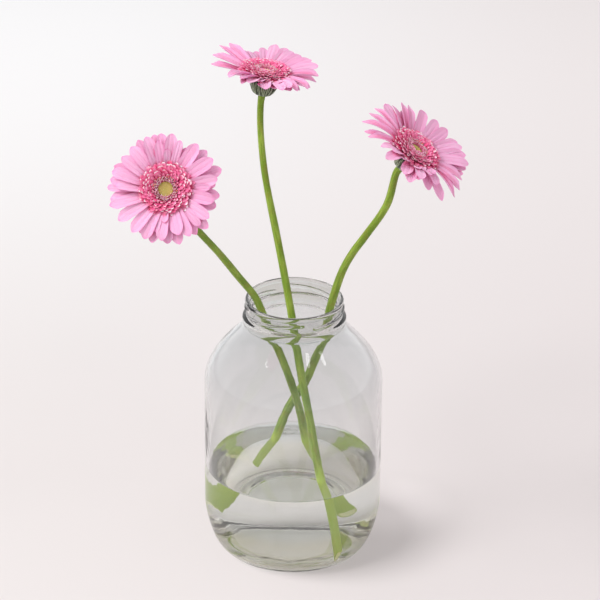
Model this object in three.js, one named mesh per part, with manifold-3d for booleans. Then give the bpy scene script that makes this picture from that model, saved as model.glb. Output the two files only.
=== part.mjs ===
// Three cut gerberas in a wide-mouthed glass jar, a third full of water.
// Millimetres, +Z up. The origin is on the jar's axis, on the surface that the jar stands on.
// The bloom that looks forward faces -Y, and +X is to the right of who looks at it.
import * as THREE from 'three';
import { mergeVertices } from 'three/addons/utils/BufferGeometryUtils.js';
import Module from 'manifold-3d';

const wasm = await Module();
wasm.setup();

const GAP = 0.3;                       // between solids that touch each other
const DEGREE = Math.PI / 180;

// Jar, outside
const JAR_SIDES = 28;
const BODY_RADIUS = 59;
const RING_INNER_RADIUS = 37;          // the flat ring that the jar stands on
const RING_OUTER_RADIUS = 42.9;
const PUSH_UP = 4.2;                   // height of the hollow under the base
const PUSH_UP_RADIUS = 29;
const HEEL_HEIGHT = 34.4;
const SHOULDER_START = 122.4;
const NECK_START = 163.6;
const SHOULDER_END_RADIUS = 32.9;
const BEAD_RADIUS = 34.2;
const NECK_RADIUS = 31.7;
const RIM_RADIUS = 32.4;
const JAR_HEIGHT = 182;

// Jar, inside
const WALL = 2.8;
const FLOOR_TOP = 8.2;                 // top of the glass over the push-up
const FLOOR_EDGE_RADIUS = 39.5;
const FLOOR_EDGE_TOP = 4.6;
const MOUTH_RADIUS = 29.5;

// Closure threads: short slanting lugs round the neck
const LUG_COUNT = 4;
const LUG_SPAN = 84 * DEGREE;
const LUG_LOW = 172.6;
const LUG_RISE = 3.6;
const LUG_HEIGHT = 2.4;
const LUG_PROUD = 1.3;

const WATER_LEVEL = 59.5;

// Bloom, along its own axis from the top of its stem
const CUP_HEIGHT = 10;
const CUP_RADIUS = 8.9;
const BRACTS = 15;
const GROOVE = 0.55;                   // depth of the groove between two bracts
const NOTCH = 1.1;                     // and how far it cuts down into the cup's mouth
const CORE_SIDES = 14;
const RAY_CORE_TOP = 13.3;
const RAY_CORE_RADIUS = 8.6;
const RAY_ROOT = 7.4;                  // radius at which the ray florets leave the core

// Height of a whorl's roots, how steeply it leaves them, and what a petal's middle adds to its thickness
const WHORLS = {
  low: { level: 10.9, slope: 0.36, ridge: 0 },
  high: { level: 12, slope: 0.56, ridge: 0.5 },
  short: { level: 12.5, slope: 0.52, ridge: 0 },
};
const RAY_WIDTH = 7.7;
const RAY_ROLL = 13;                   // degrees: each petal lies with one edge over its neighbour's
const BLADE_EDGE = 0.6;                // thickness of a petal at its edges
const RAY_OUTLINE = [[0, 0.25], [0.35, 0.88], [0.78, 1], [1, 0.45]];
const FLORET_CORE_BOTTOM = 13.7;
const FLORET_CORE_TOP = 15.2;
const FLORET_CORE_RADIUS = 8.1;
const FLORET_ROOT = 14;                // height at which the inner florets start, inside their core
const EYE_RADIUS = 4.9;
const EYE_HEIGHT = 2.1;
const EYE_EDGE = 0.7;                  // height of its first ring of closed florets
const PIMPLE = 0.16;

// Rows of inner florets: how many, root radius, tip radius, tip height, width, and how many pitches
// a row is turned from the first
const FLORET_ROWS = [
  { count: 24, root: 7.4, reach: 18.4, top: 19.4, width: 1.9, turn: 0 },
  { count: 24, root: 5.7, reach: 14.8, top: 20, width: 1.8, turn: 0.5 },
  { count: 12, root: 5.3, reach: 11, top: 19.6, width: 1.7, turn: 0 },
  { count: 12, root: 5.2, reach: 8, top: 18.6, width: 1.4, turn: 1 },
];
const FLORET_THICKNESS = 0.9;
const NEAR_SHORTER = 0.1;              // share by which the florets on the near side are shorter
const NEAR_LOWER = 0.9;                // and how much lower they end

// Stems: points along the middle from the foot to just below the bloom
const STEM_SIDES = 8;
const STEM_STEPS = 21;
const STEM_CLEARANCE = 0.35;           // of the hole in the water round a stem
const LAST_STRAIGHT = 5;               // a stem's last stretch runs along its bloom's axis

// Turn of the whole about the jar's axis: the points below are as the jar is looked at, and
// turned by this the front bloom faces -Y
const FACING = Math.atan2(0.06, 0.84);

// Ray florets of each bloom: bearing (degrees, from the local X axis), reach, height of the tip
// and, where it isn't the usual one, width. Those with a bearing in a rolled range have its roll
const BLOOMS = [
  {
    name: 'left',
    top: [-79.1, -72.5, 288.6],
    axis: [-0.06, -0.84, 0.54],
    seed: 11,
    stem: [[18, 40.5, 12], [15, 37, 25], [8.5, 29.5, 59.5], [4.5, 21, 85.5], [-2, 11, 114.5],
      [-12.5, -0.5, 150], [-20.5, -10.5, 175], [-25.7, -16, 190], [-36.5, -25.5, 209.3],
      [-49, -36.6, 231.4], [-60, -46, 249], [-71, -55.4, 267.8]],
    radii: [2.9, 2.5, 2.1],
    cut: [1, 0, 0.9],
    low: [[95, 35.4, 15], [64, 29, 15], [44, 35, 15], [21, 36.6, 15], [6, 30.8, 15, 5], [353, 33.6, 15],
      [341, 33.1, 15], [317, 35.8, 15], [305, 34.2, 14], [285, 35.4, 14], [273, 33.8, 14],
      [256, 34.3, 14], [240, 31.5, 14], [189, 35.1, 15], [178, 36.4, 15, 5.5], [169, 35.3, 15],
      [155, 35.5, 15], [120, 35.6, 15], [104, 35.2, 15]],
    high: [[84, 34.5, 19], [73, 31.4, 19, 5], [54, 34, 19, 8.4], [33, 34.6, 19, 8.4], [11, 32.8, 19],
      [1, 28, 18, 5], [347, 31, 19], [327, 33, 19], [314, 31.5, 17, 5.5], [297, 33.5, 18],
      [287, 30.4, 19, 8.4], [267, 32.5, 18], [258, 27.7, 18, 4.5], [247, 33.8, 17], [233, 34, 18],
      [214, 35.2, 19], [197, 36, 19], [176, 31, 19], [161, 35, 19], [144, 33.7, 19], [129, 34, 19],
      [111, 34.8, 19]],
    short: [[100, 30, 19.5, 6], [88, 24.7, 19.4, 5], [115, 24, 19, 5], [270, 21.5, 18.6, 5]],
    rolled: [],
  },
  {
    name: 'middle',
    top: [-23, 75, 294.3],
    axis: [0.146, 0.051, 0.988],
    seed: 23,
    stem: [[28.6, -35, 11.4], [22.7, -30, 42], [19, -26, 59.5], [15.5, -20.5, 75], [10, -11, 103],
      [5, -1, 125.5], [2, 6, 141], [-1.5, 14.8, 159.5], [-6.8, 26, 185.2], [-12.2, 37, 209.2],
      [-20.7, 54.5, 247.2], [-23.9, 67.5, 275.6]],
    radii: [2.95, 2.6, 2.05],
    cut: [0.7, -0.3, 1.9],
    low: [[177, 36.5, 15, 6.5], [102, 34, 17], [88, 33, 16], [70, 33, 16], [50, 34, 17], [30, 34.5, 15],
      [10, 35, 13.5], [340, 32, 13.5], [322, 29.5, 13, 6], [309, 27, 13.5], [292, 24.5, 13.8],
      [268, 22, 12.5], [235, 27, 14], [207, 28, 15.5], [148, 34, 17], [127, 34, 17]],
    high: [[173, 36.6, 21, 7.4], [156, 36, 24.5, 7], [139, 35, 24, 7.4], [121, 33.5, 20.5],
      [109, 33.8, 18.5], [95, 33.5, 20.3, 6.6], [82, 35, 24.3], [68, 35, 22.5], [61, 35, 23],
      [51, 35, 22], [35, 36, 22], [23, 37.3, 20], [4, 35.1, 17.8], [331, 33, 15.2], [315, 31, 14.2, 7],
      [302, 31, 16.8, 7], [292, 31, 15.2, 7], [271, 27, 13, 7.4], [250, 31, 16.3, 7], [239, 32, 17.8, 7],
      [224, 34, 18]],
    short: [[262, 22, 17, 5], [298, 23, 17, 5]],
    rolled: [[135, 180, -16], [0, 40, 14]],
  },
  {
    name: 'right',
    top: [67, -20, 284.9],
    axis: [0.543, -0.193, 0.818],
    seed: 37,
    stem: [[-25.6, 37.8, 13], [-20, 37, 33], [-12, 33.5, 60], [-3.5, 29, 84.5], [8, 22, 109],
      [13.5, 14, 128], [19, 3, 150], [23.6, -11, 181.4], [31, -16, 209.6], [37.6, -17.8, 223.8],
      [45, -18.6, 235.4], [58.7, -19.4, 258.6]],
    radii: [3.05, 2.75, 2.3],
    cut: [-1, 0, 1],
    low: [[181, 35.3, 10.6, 6], [127, 33, 17], [97, 33, 18], [78, 33, 18], [60, 33, 18], [42, 33.5, 18],
      [0, 36, 16.5], [342, 36.5, 13, 5], [313, 36.3, 8.2, 6.5], [301, 28.1, 10, 6], [277, 26, 13],
      [267, 28.5, 10], [256, 25.5, 12], [113, 33, 18], [24, 34, 18], [8, 38, 19]],
    high: [[161, 37.6, 16, 5], [151, 37.4, 19, 5.5], [139, 35.7, 21.3], [126, 33.8, 22],
      [116, 34.7, 24, 7], [105, 34.7, 24, 7], [88, 35, 24], [68, 35, 23.5], [54, 35, 24], [37, 35, 23.5],
      [30, 36.3, 24], [21, 36.8, 22.6], [10, 37.5, 23], [349, 36, 17, 6.5], [337, 38, 14.8, 5],
      [330, 38.1, 10, 5.5], [307, 28.5, 15.5, 5.5], [276, 28.5, 16.5, 7], [226, 29.5, 12.5],
      [207, 28.5, 14.5], [191, 34.6, 12.5, 5.5], [170, 39, 12.5, 5.5]],
    short: [[295, 23.6, 19.3, 5.5], [303, 22.9, 20, 5.5], [272, 21.6, 17.7, 5.5], [243, 21, 17, 6],
      [222, 24.5, 18.6, 6.5], [286, 19.5, 18.4, 5]],
    rolled: [[135, 200, -14], [310, 350, 12]],
  },
];

function finish(color, roughness, opacity = 1) {
  const transparent = opacity < 1;
  return new THREE.MeshStandardMaterial({ color, roughness, metalness: 0, opacity, transparent });
}

const FINISHES = {
  jar: finish(0xccd0cf, 0.05, 0.3),
  water: finish(0xc9cbbd, 0.03, 0.4),
  stem: finish(0x87943f, 0.6),
  involucre: finish(0x6d735b, 0.75),
  rays: finish(0xf0b8da, 0.65),
  inner_florets: finish(0xe77aa6, 0.65),
  eye: finish(0xb2a958, 0.8),
};

const bouquet = new THREE.Group();
bouquet.rotation.z = FACING;

// Small seeded random draw, the same on every run
function randomFrom(seed) {
  let state = seed;
  return () => {
    state = (state * 16807) % 2147483647;
    return state / 2147483647;
  };
}

// One closed mesh: shared vertices merged, flat triangles dropped, faces turned outwards
function closed(geometry) {
  const bare = geometry.clone();
  bare.deleteAttribute('normal');
  bare.deleteAttribute('uv');
  const merged = mergeVertices(bare, 1e-4);
  const index = merged.index.array;
  const faces = [];
  for (let i = 0; i < index.length; i += 3) {
    const [a, b, c] = [index[i], index[i + 1], index[i + 2]];
    if (a !== b && b !== c && c !== a) faces.push([a, b, c]);
  }
  const corner = (i) => new THREE.Vector3().fromBufferAttribute(merged.attributes.position, i);
  const volume = faces.reduce((sum, [a, b, c]) => sum + corner(a).dot(corner(b).cross(corner(c))), 0);
  merged.setIndex((volume < 0 ? faces.map(([a, b, c]) => [a, c, b]) : faces).flat());
  return merged;
}

function solid(geometry) {
  const mesh = closed(geometry);
  return new wasm.Manifold(new wasm.Mesh({
    numProp: 3,
    vertProperties: Float32Array.from(mesh.attributes.position.array),
    triVerts: Uint32Array.from(mesh.index.array),
  }));
}

function geometryOf(manifold) {
  const mesh = manifold.getMesh();
  const geometry = new THREE.BufferGeometry();
  geometry.setAttribute('position', new THREE.BufferAttribute(mesh.vertProperties, 3));
  geometry.setIndex(Array.from(mesh.triVerts));
  return geometry;
}

// Join of overlapping solids. Only its largest skin is kept, so a pocket that joining seals is filled
function joined(parts) {
  const skins = wasm.Manifold.union(parts).decompose();
  return geometryOf(skins.reduce((largest, skin) => (skin.volume() > largest.volume() ? skin : largest)));
}

function place(name, geometry, slot, parent = bouquet) {
  const mesh = new THREE.Mesh(geometry, FINISHES[slot]);
  mesh.name = name;
  parent.add(mesh);
}

// Skin over a row of sections that all have the same number of points, closed at both ends
function loft(sections) {
  const sides = sections[0].length;
  const points = sections.flat();
  const faces = [];
  for (let s = 0; s + 1 < sections.length; s++) {
    for (let i = 0; i < sides; i++) {
      const a = s * sides + i;
      const b = s * sides + (i + 1) % sides;
      faces.push(a, b, b + sides, a, b + sides, a + sides);
    }
  }
  const last = (sections.length - 1) * sides;
  for (let i = 1; i + 1 < sides; i++) {
    faces.push(0, i + 1, i, last, last + i, last + i + 1);
  }
  const geometry = new THREE.BufferGeometry().setFromPoints(points);
  geometry.setIndex(faces);
  return closed(geometry);
}

// A profile of [radius, height] pairs turned round the Z axis
function turned(profile, sides) {
  const points = profile.map(([radius, height]) => new THREE.Vector2(radius, height));
  return new THREE.LatheGeometry(points, sides).rotateX(Math.PI / 2);
}

// Radius of a rounded stretch: from one radius to another as t goes from 0 to 1
function swell(from, to, t, rise, run) {
  return from + (to - from) * (1 - (1 - t) ** rise) ** (1 / run);
}

function heel(edgeRadius, edgeHeight, fullRadius, fullHeight, steps) {
  const points = [];
  for (let i = 0; i <= steps; i++) {
    const t = (i / steps) ** 2;
    const height = edgeHeight + (fullHeight - edgeHeight) * t;
    points.push([swell(edgeRadius, fullRadius, t, 1.46, 2.26), height]);
  }
  return points;
}

function shoulder(bodyRadius, startHeight, neckRadius, endHeight, steps) {
  const points = [];
  for (let i = 0; i <= steps; i++) {
    const t = i / steps;
    const height = startHeight + (endHeight - startHeight) * t;
    points.push([swell(neckRadius, bodyRadius, 1 - t, 1.94, 0.8), height]);
  }
  return points;
}

function innerFloor() {
  return [[0, FLOOR_TOP], [PUSH_UP_RADIUS - 1, FLOOR_TOP - 0.2], [34, 6.4],
    ...heel(FLOOR_EDGE_RADIUS, FLOOR_EDGE_TOP, BODY_RADIUS - WALL, HEEL_HEIGHT + 1, 4)];
}

function threadLug(start) {
  const sections = [];
  const steps = 5;
  for (let i = 0; i <= steps; i++) {
    const t = i / steps;
    const angle = start + LUG_SPAN * t;
    const height = LUG_LOW + LUG_RISE * t;
    const proud = (i === 0 || i === steps) ? 0 : LUG_PROUD;
    const at = (radius, rise) => new THREE.Vector3(
      radius * Math.cos(angle), radius * Math.sin(angle), height + rise);
    sections.push([
      at(NECK_RADIUS - 1, -LUG_HEIGHT / 2), at(NECK_RADIUS - 0.1 + proud, -LUG_HEIGHT / 4),
      at(NECK_RADIUS - 0.1 + proud, LUG_HEIGHT / 4), at(NECK_RADIUS - 1, LUG_HEIGHT / 2)]);
  }
  return solid(loft(sections));
}

function makeJar() {
  const outside = [[0, PUSH_UP], [PUSH_UP_RADIUS, PUSH_UP - 0.2], [33.5, 2.4], [RING_INNER_RADIUS, 0],
    ...heel(RING_OUTER_RADIUS, 0, BODY_RADIUS, HEEL_HEIGHT, 4),
    ...shoulder(BODY_RADIUS, SHOULDER_START, SHOULDER_END_RADIUS, NECK_START, 5),
    [BEAD_RADIUS, NECK_START + 3], [BEAD_RADIUS, NECK_START + 5], [NECK_RADIUS, NECK_START + 7],
    [NECK_RADIUS, JAR_HEIGHT - 3.6], [RIM_RADIUS, JAR_HEIGHT - 2.6], [RIM_RADIUS, JAR_HEIGHT - 1],
    [RIM_RADIUS - 1.4, JAR_HEIGHT]];
  const inside = [...innerFloor(),
    ...shoulder(BODY_RADIUS - WALL, SHOULDER_START - 0.8, MOUTH_RADIUS + 0.1, NECK_START - 1, 5),
    [MOUTH_RADIUS, JAR_HEIGHT - 1.4], [MOUTH_RADIUS + 1, JAR_HEIGHT]];
  let jar = solid(turned([...outside, ...inside.reverse()], JAR_SIDES));
  for (let i = 0; i < LUG_COUNT; i++) {
    jar = jar.add(threadLug(2 * Math.PI * i / LUG_COUNT + 0.35));
  }
  place('jar', geometryOf(jar), 'jar');
}

// Tube of changing radius; its foot is cut aslant across the direction cut[0], cut[1], as steep as cut[2]
function stemSolid(bloom, extra) {
  const top = new THREE.Vector3(...bloom.top);
  const axis = new THREE.Vector3(...bloom.axis).normalize();
  const points = bloom.stem.map((point) => new THREE.Vector3(...point));
  points.push(top.clone().addScaledVector(axis, -LAST_STRAIGHT), top.clone().addScaledVector(axis, -GAP));
  const curve = new THREE.CatmullRomCurve3(points, false, 'centripetal');
  const frames = curve.computeFrenetFrames(STEM_STEPS);
  const [foot, middle, head] = bloom.radii;
  const across = new THREE.Vector3(bloom.cut[0], bloom.cut[1], 0);
  const sections = [];
  for (let s = 0; s <= STEM_STEPS; s++) {
    const t = s / STEM_STEPS;
    const lower = foot + (middle - foot) * 2 * t;
    const upper = middle + (head - middle) * (2 * t - 1);
    const radius = extra + (t < 0.5 ? lower : upper);
    const centre = curve.getPointAt(t);
    const section = [];
    for (let i = 0; i < STEM_SIDES; i++) {
      const angle = 2 * Math.PI * i / STEM_SIDES;
      const out = frames.normals[s].clone().multiplyScalar(Math.cos(angle) * radius)
        .addScaledVector(frames.binormals[s], Math.sin(angle) * radius);
      const slant = s === 0 ? out.dot(across) * bloom.cut[2] - extra : 0;
      section.push(centre.clone().add(out).addScaledVector(frames.tangents[s], slant));
    }
    sections.push(section);
  }
  return solid(loft(sections));
}

function makeWater() {
  const side = innerFloor().map(([radius, height]) => [Math.max(radius - GAP, 0), height + GAP]);
  const profile = [...side, [BODY_RADIUS - WALL - GAP, WATER_LEVEL], [0, WATER_LEVEL]];
  let water = solid(turned(profile, JAR_SIDES));
  for (const bloom of BLOOMS) {
    water = water.subtract(stemSolid(bloom, STEM_CLEARANCE));
  }
  place('water', geometryOf(water), 'water');
}

// Cup of narrow upright bracts that taper to pointed tips at its mouth
function involucre() {
  const rings = [[2.4, 0], [5.6, 0.7], [8.1, 4], [CUP_RADIUS, 7.6]];
  const sections = [...rings, [CUP_RADIUS - 0.2, CUP_HEIGHT]].map(([radius, height], ring) => {
    const section = [];
    for (let i = 0; i < 2 * BRACTS; i++) {
      const angle = Math.PI * i / BRACTS;
      const groove = i % 2;
      const out = radius - groove * (ring > 1 ? GROOVE : GROOVE / 4);
      const drop = ring === rings.length ? groove * NOTCH : 0;
      section.push(new THREE.Vector3(out * Math.cos(angle), out * Math.sin(angle), height - drop));
    }
    return section;
  });
  return loft(sections);
}

// Petal: flat below and, in the upper whorls, ridged above. It rises and then levels out or droops
function petal(bearing, reach, tipHeight, width, roll, { level, slope, ridge }) {
  const length = reach - RAY_ROOT;
  const curl = (tipHeight - level - slope * length) / length ** 2;
  const outwards = new THREE.Vector3(Math.cos(bearing), Math.sin(bearing), 0);
  const levelAcross = new THREE.Vector3(-Math.sin(bearing), Math.cos(bearing), 0);
  const sections = RAY_OUTLINE.map(([t, share]) => {
    const run = length * t;
    const lift = level + slope * run + curl * run ** 2;
    const centre = outwards.clone().multiplyScalar(RAY_ROOT + run).setZ(lift);
    const pitch = Math.atan(slope + 2 * curl * run);
    const levelUp = outwards.clone().multiplyScalar(-Math.sin(pitch)).setZ(Math.cos(pitch));
    const [sine, cosine] = [Math.sin(roll), Math.cos(roll)];
    const across = levelAcross.clone().multiplyScalar(cosine).addScaledVector(levelUp, sine);
    const up = levelUp.clone().multiplyScalar(cosine).addScaledVector(levelAcross, -sine);
    const half = width * share / 2;
    const at = (side, rise) => centre.clone().addScaledVector(across, side).addScaledVector(up, rise);
    const edge = BLADE_EDGE / 2;
    const middle = ridge > 0 ? [at(0, edge + ridge * share)] : [];
    return [at(-half, -edge), at(half, -edge), at(half, edge), ...middle, at(-half, edge)];
  });
  return solid(loft(sections));
}

function disc(radius, bottom, top, sides) {
  return solid(new THREE.CylinderGeometry(radius, radius, top - bottom, sides)
    .rotateX(Math.PI / 2).translate(0, 0, (bottom + top) / 2));
}

function rays(bloom) {
  const random = randomFrom(bloom.seed);
  const parts = [disc(RAY_CORE_RADIUS, CUP_HEIGHT + GAP, RAY_CORE_TOP, CORE_SIDES)];
  for (const whorl of ['low', 'high', 'short']) {
    for (const [bearing, reach, tipHeight, width = RAY_WIDTH] of bloom[whorl]) {
      const breadth = width * (0.96 + 0.08 * random());
      const range = bloom.rolled.find(([from, to]) => from <= bearing && bearing <= to);
      const roll = (range ? range[2] : RAY_ROLL) * DEGREE;
      parts.push(petal(bearing * DEGREE, reach, tipHeight, breadth, roll, WHORLS[whorl]));
    }
  }
  return joined(parts);
}

// Three-sided tongue that leans outwards from the floret core
function floret(row, bearing, reach, tipHeight) {
  const outwards = new THREE.Vector3(Math.cos(bearing), Math.sin(bearing), 0);
  const sideways = new THREE.Vector3(-Math.sin(bearing), Math.cos(bearing), 0);
  return solid(loft([[row.root, FLORET_ROOT, 0.4], [reach, tipHeight, 1]].map(([radius, height, share]) => {
    const centre = outwards.clone().multiplyScalar(radius).setZ(height);
    const half = row.width * share / 2;
    return [
      centre.clone().addScaledVector(sideways, -half),
      centre.clone().addScaledVector(sideways, half),
      centre.clone().addScaledVector(outwards, -FLORET_THICKNESS * 0.5).add(
        new THREE.Vector3(0, 0, FLORET_THICKNESS * 0.8))];
  })));
}

function innerFlorets(bloom) {
  const random = randomFrom(bloom.seed + 500);
  const parts = [disc(FLORET_CORE_RADIUS, FLORET_CORE_BOTTOM, FLORET_CORE_TOP, CORE_SIDES)];
  const pitch = 2 * Math.PI / FLORET_ROWS[0].count;
  for (const row of FLORET_ROWS) {
    for (let i = 0; i < row.count; i++) {
      const bearing = 2 * Math.PI * i / row.count + pitch * row.turn;
      const near = Math.max(0, -Math.sin(bearing));
      const reach = row.reach * (1 - 0.07 * random()) * (1 - NEAR_SHORTER * near);
      const tipHeight = row.top + 0.5 * (random() - 0.5) - NEAR_LOWER * near;
      parts.push(floret(row, bearing, reach, tipHeight));
    }
  }
  return joined(parts);
}

// Low dome of closed florets, pimpled by a formula
function eye() {
  const rings = 4;
  const sides = 18;
  const bottom = FLORET_CORE_TOP + GAP;
  const sections = [];
  for (let ring = 0; ring <= rings; ring++) {
    const t = ring / rings;
    const section = [];
    for (let i = 0; i < sides; i++) {
      const angle = 2 * Math.PI * i / sides;
      const pimple = PIMPLE * ((i + ring) % 2);
      const radius = EYE_RADIUS * Math.cos(t * 1.36) ** 0.8;
      const dome = EYE_EDGE + (EYE_HEIGHT - EYE_EDGE) * Math.sin(t * Math.PI / 2) + pimple;
      const height = bottom + (ring === 0 ? 0 : dome);
      section.push(new THREE.Vector3(radius * Math.cos(angle), radius * Math.sin(angle), height));
    }
    sections.push(section);
  }
  return loft(sections);
}

// The bloom's own frame: Z along its axis, X the level direction nearest to the world's X
function makeBloom(bloom) {
  const z = new THREE.Vector3(...bloom.axis).normalize();
  const x = new THREE.Vector3(1, 0, 0).addScaledVector(z, -z.x).normalize();
  const y = new THREE.Vector3().crossVectors(z, x);
  const head = new THREE.Group();
  head.setRotationFromMatrix(new THREE.Matrix4().makeBasis(x, y, z));
  head.position.set(...bloom.top);
  bouquet.add(head);
  place(`${bloom.name}_involucre`, involucre(), 'involucre', head);
  place(`${bloom.name}_rays`, rays(bloom), 'rays', head);
  place(`${bloom.name}_inner_florets`, innerFlorets(bloom), 'inner_florets', head);
  place(`${bloom.name}_eye`, eye(), 'eye', head);
}

makeJar();
makeWater();
for (const bloom of BLOOMS) {
  place(`${bloom.name}_stem`, geometryOf(stemSolid(bloom, 0)), 'stem');
  makeBloom(bloom);
}

export default bouquet;
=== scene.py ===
"""Looks of the gerberas in a vase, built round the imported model.

Points and sizes are in millimetres, in the frame in which the jar is looked at, and become metres in
the model's frame when a mesh is made.
"""
from math import atan2, cos, exp, pi, radians, sin, sqrt

import bpy
import numpy as np
from mathutils import Matrix, Vector
from mathutils.bvhtree import BVHTree


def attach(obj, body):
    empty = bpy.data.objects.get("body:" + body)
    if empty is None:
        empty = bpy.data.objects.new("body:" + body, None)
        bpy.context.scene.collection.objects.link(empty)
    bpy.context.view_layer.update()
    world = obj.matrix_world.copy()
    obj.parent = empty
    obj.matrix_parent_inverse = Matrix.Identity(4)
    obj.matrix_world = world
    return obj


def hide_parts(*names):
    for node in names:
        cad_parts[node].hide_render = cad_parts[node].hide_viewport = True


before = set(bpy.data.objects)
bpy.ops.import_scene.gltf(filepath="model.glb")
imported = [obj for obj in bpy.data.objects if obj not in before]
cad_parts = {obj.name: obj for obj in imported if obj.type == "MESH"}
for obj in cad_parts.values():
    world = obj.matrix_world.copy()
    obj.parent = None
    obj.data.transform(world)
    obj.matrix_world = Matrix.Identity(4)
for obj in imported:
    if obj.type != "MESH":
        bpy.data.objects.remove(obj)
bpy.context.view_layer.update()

MM = 0.001
FACING = atan2(0.06, 0.84)        # turn of the whole about the jar's axis, as in the solids

# Camera, fitted to the jar's outline
CAMERA_ELEVATION = radians(25.996)
CAMERA_ROLL = radians(-0.663)
CAMERA_DISTANCE = 2200
CAMERA_TARGET = (3.628, 0, 180.231)
FOCAL_PIXELS = 3354.95
FRAME_PIXELS = 600
SENSOR_MM = 36

# Jar
BODY_RADIUS = 59
RING_OUTER_RADIUS = 42.9
PUSH_UP = 4.2
PUSH_UP_RADIUS = 29
HEEL_HEIGHT = 34.4
SHOULDER_START = 122.4
NECK_START = 163.6
SHOULDER_END_RADIUS = 32.9
BEAD_RADIUS = 34.2
NECK_RADIUS = 31.7
RIM_RADIUS = 32.4
JAR_HEIGHT = 182
WALL = 2.8
FLOOR_TOP = 8.2
FLOOR_EDGE_RADIUS = 39.5
FLOOR_EDGE_TOP = 4.6
MOUTH_RADIUS = 29.5
LUG_COUNT = 4
LUG_SPAN = radians(84)
LUG_START = 0.35
LUG_LOW = 172.6
LUG_RISE = 3.6
LUG_HALF = 1.3
LUG_PROUD = 1.25
KNURLS = 99
KNURL_DEPTH = 0.4
KNURL_RADIUS = 39.8
KNURL_SPREAD = 1.9
KNURL_INNER = 38
KNURL_OUTER = 41.6
JAR_SIDES = 396
# waves in the inner wall: size, waves round the jar, turn for each mm of height, start
RIPPLES = [(0.04, 3, 0.035, 0), (0.04, 5, -0.06, 1.1), (0.03, 2, 0.11, 2.0)]

# Water
WATER_LEVEL = 59.5
MENISCUS = 1.2
MENISCUS_REACH = 0.9
WATER_BITE = 0.35                      # how far the water reaches into the glass, so that no air is between
WATER_SIDES = 240

# Stems
STEM_ROWS = 150
STEM_SIDES = 40
LAST_STRAIGHT = 5
HAIR_COUNT = 1500
HAIR_ROWS = 400
HAIR_FIRST = 30
HAIR_LAST = 396
HAIR_WIDTH = 0.035

# Petals, in a frame whose zero is the top of the stem
RAY_ROOT = 7.4
RAY_WIDTH = 7.7
RAY_SPREAD = 1.06
RAY_ROLL = 13
# height at the root and slope of each whorl
WHORLS = {"low": (10.9, 0.36), "high": (12.0, 0.56), "short": (12.5, 0.52)}
PETAL_ROWS = 22
PETAL_COLUMNS = 19
PETAL_HALF_THICKNESS = 0.2
GROOVE_PLACE = 0.36                    # share of the half width
GROOVE_DEPTH = 0.24

# Inner florets
CORE_BOTTOM = 13.6
TONGUE_COUNT = 190
FRINGE_COUNT = 42
SHORT_COUNT = 170
# from the eye outwards: share of the way, root radius, tip height, width
TONGUE_SHARES = (0, 0.15, 0.35, 0.6, 0.8, 1)
TONGUE_ROOTS = (4.9, 5.9, 7.1, 8.2, 9.0, 9.7)
TONGUE_TOPS = (17.2, 18.6, 19.9, 20.0, 19.3, 18.5)
TONGUE_WIDTHS = (1.0, 1.4, 2.1, 2.7, 3.0, 3.0)
TONGUE_NEAREST = 6.2
TONGUE_FARTHEST = 18.2
TONGUE_HALF_THICKNESS = 0.11
TONGUE_STEPS = 9
TONGUE_COLUMNS = 5
NEAR_SHORTER = 0.1
NEAR_LOWER = 0.9
THREAD_STEPS = 4
GOLDEN_ANGLE = pi * (3 - sqrt(5))

# Anthers and eye; levels are share of the height and size
ANTHER_COUNT = 46
ANTHER_FOOT = 14.6
ANTHER_LEVELS = [(0, 0.24), (0.5, 0.34), (0.85, 0.4), (0.95, 0.3), (1, 0.1)]
ANTHER_SIDES = 6
EYE_BOTTOM = 15.5
EYE_RADIUS = 4.9
BUD_COUNT = 240
BUD_LEVELS = [(0, 0.85), (0.45, 1.0), (0.8, 0.7), (1, 0.15)]
BUD_SIDES = 6

# Rows of bracts: count, foot height, tip height, width, how far its tip stands off
BRACT_ROWS = [(22, 4.2, 10.9, 2.6, 0.5), (18, 2.0, 9.4, 2.6, 0.7), (14, 0.6, 6.6, 2.4, 0.8)]
BRACT_STEPS = 9
BRACT_COLUMNS = 5
BRACT_THICKNESS = 0.25

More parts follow.
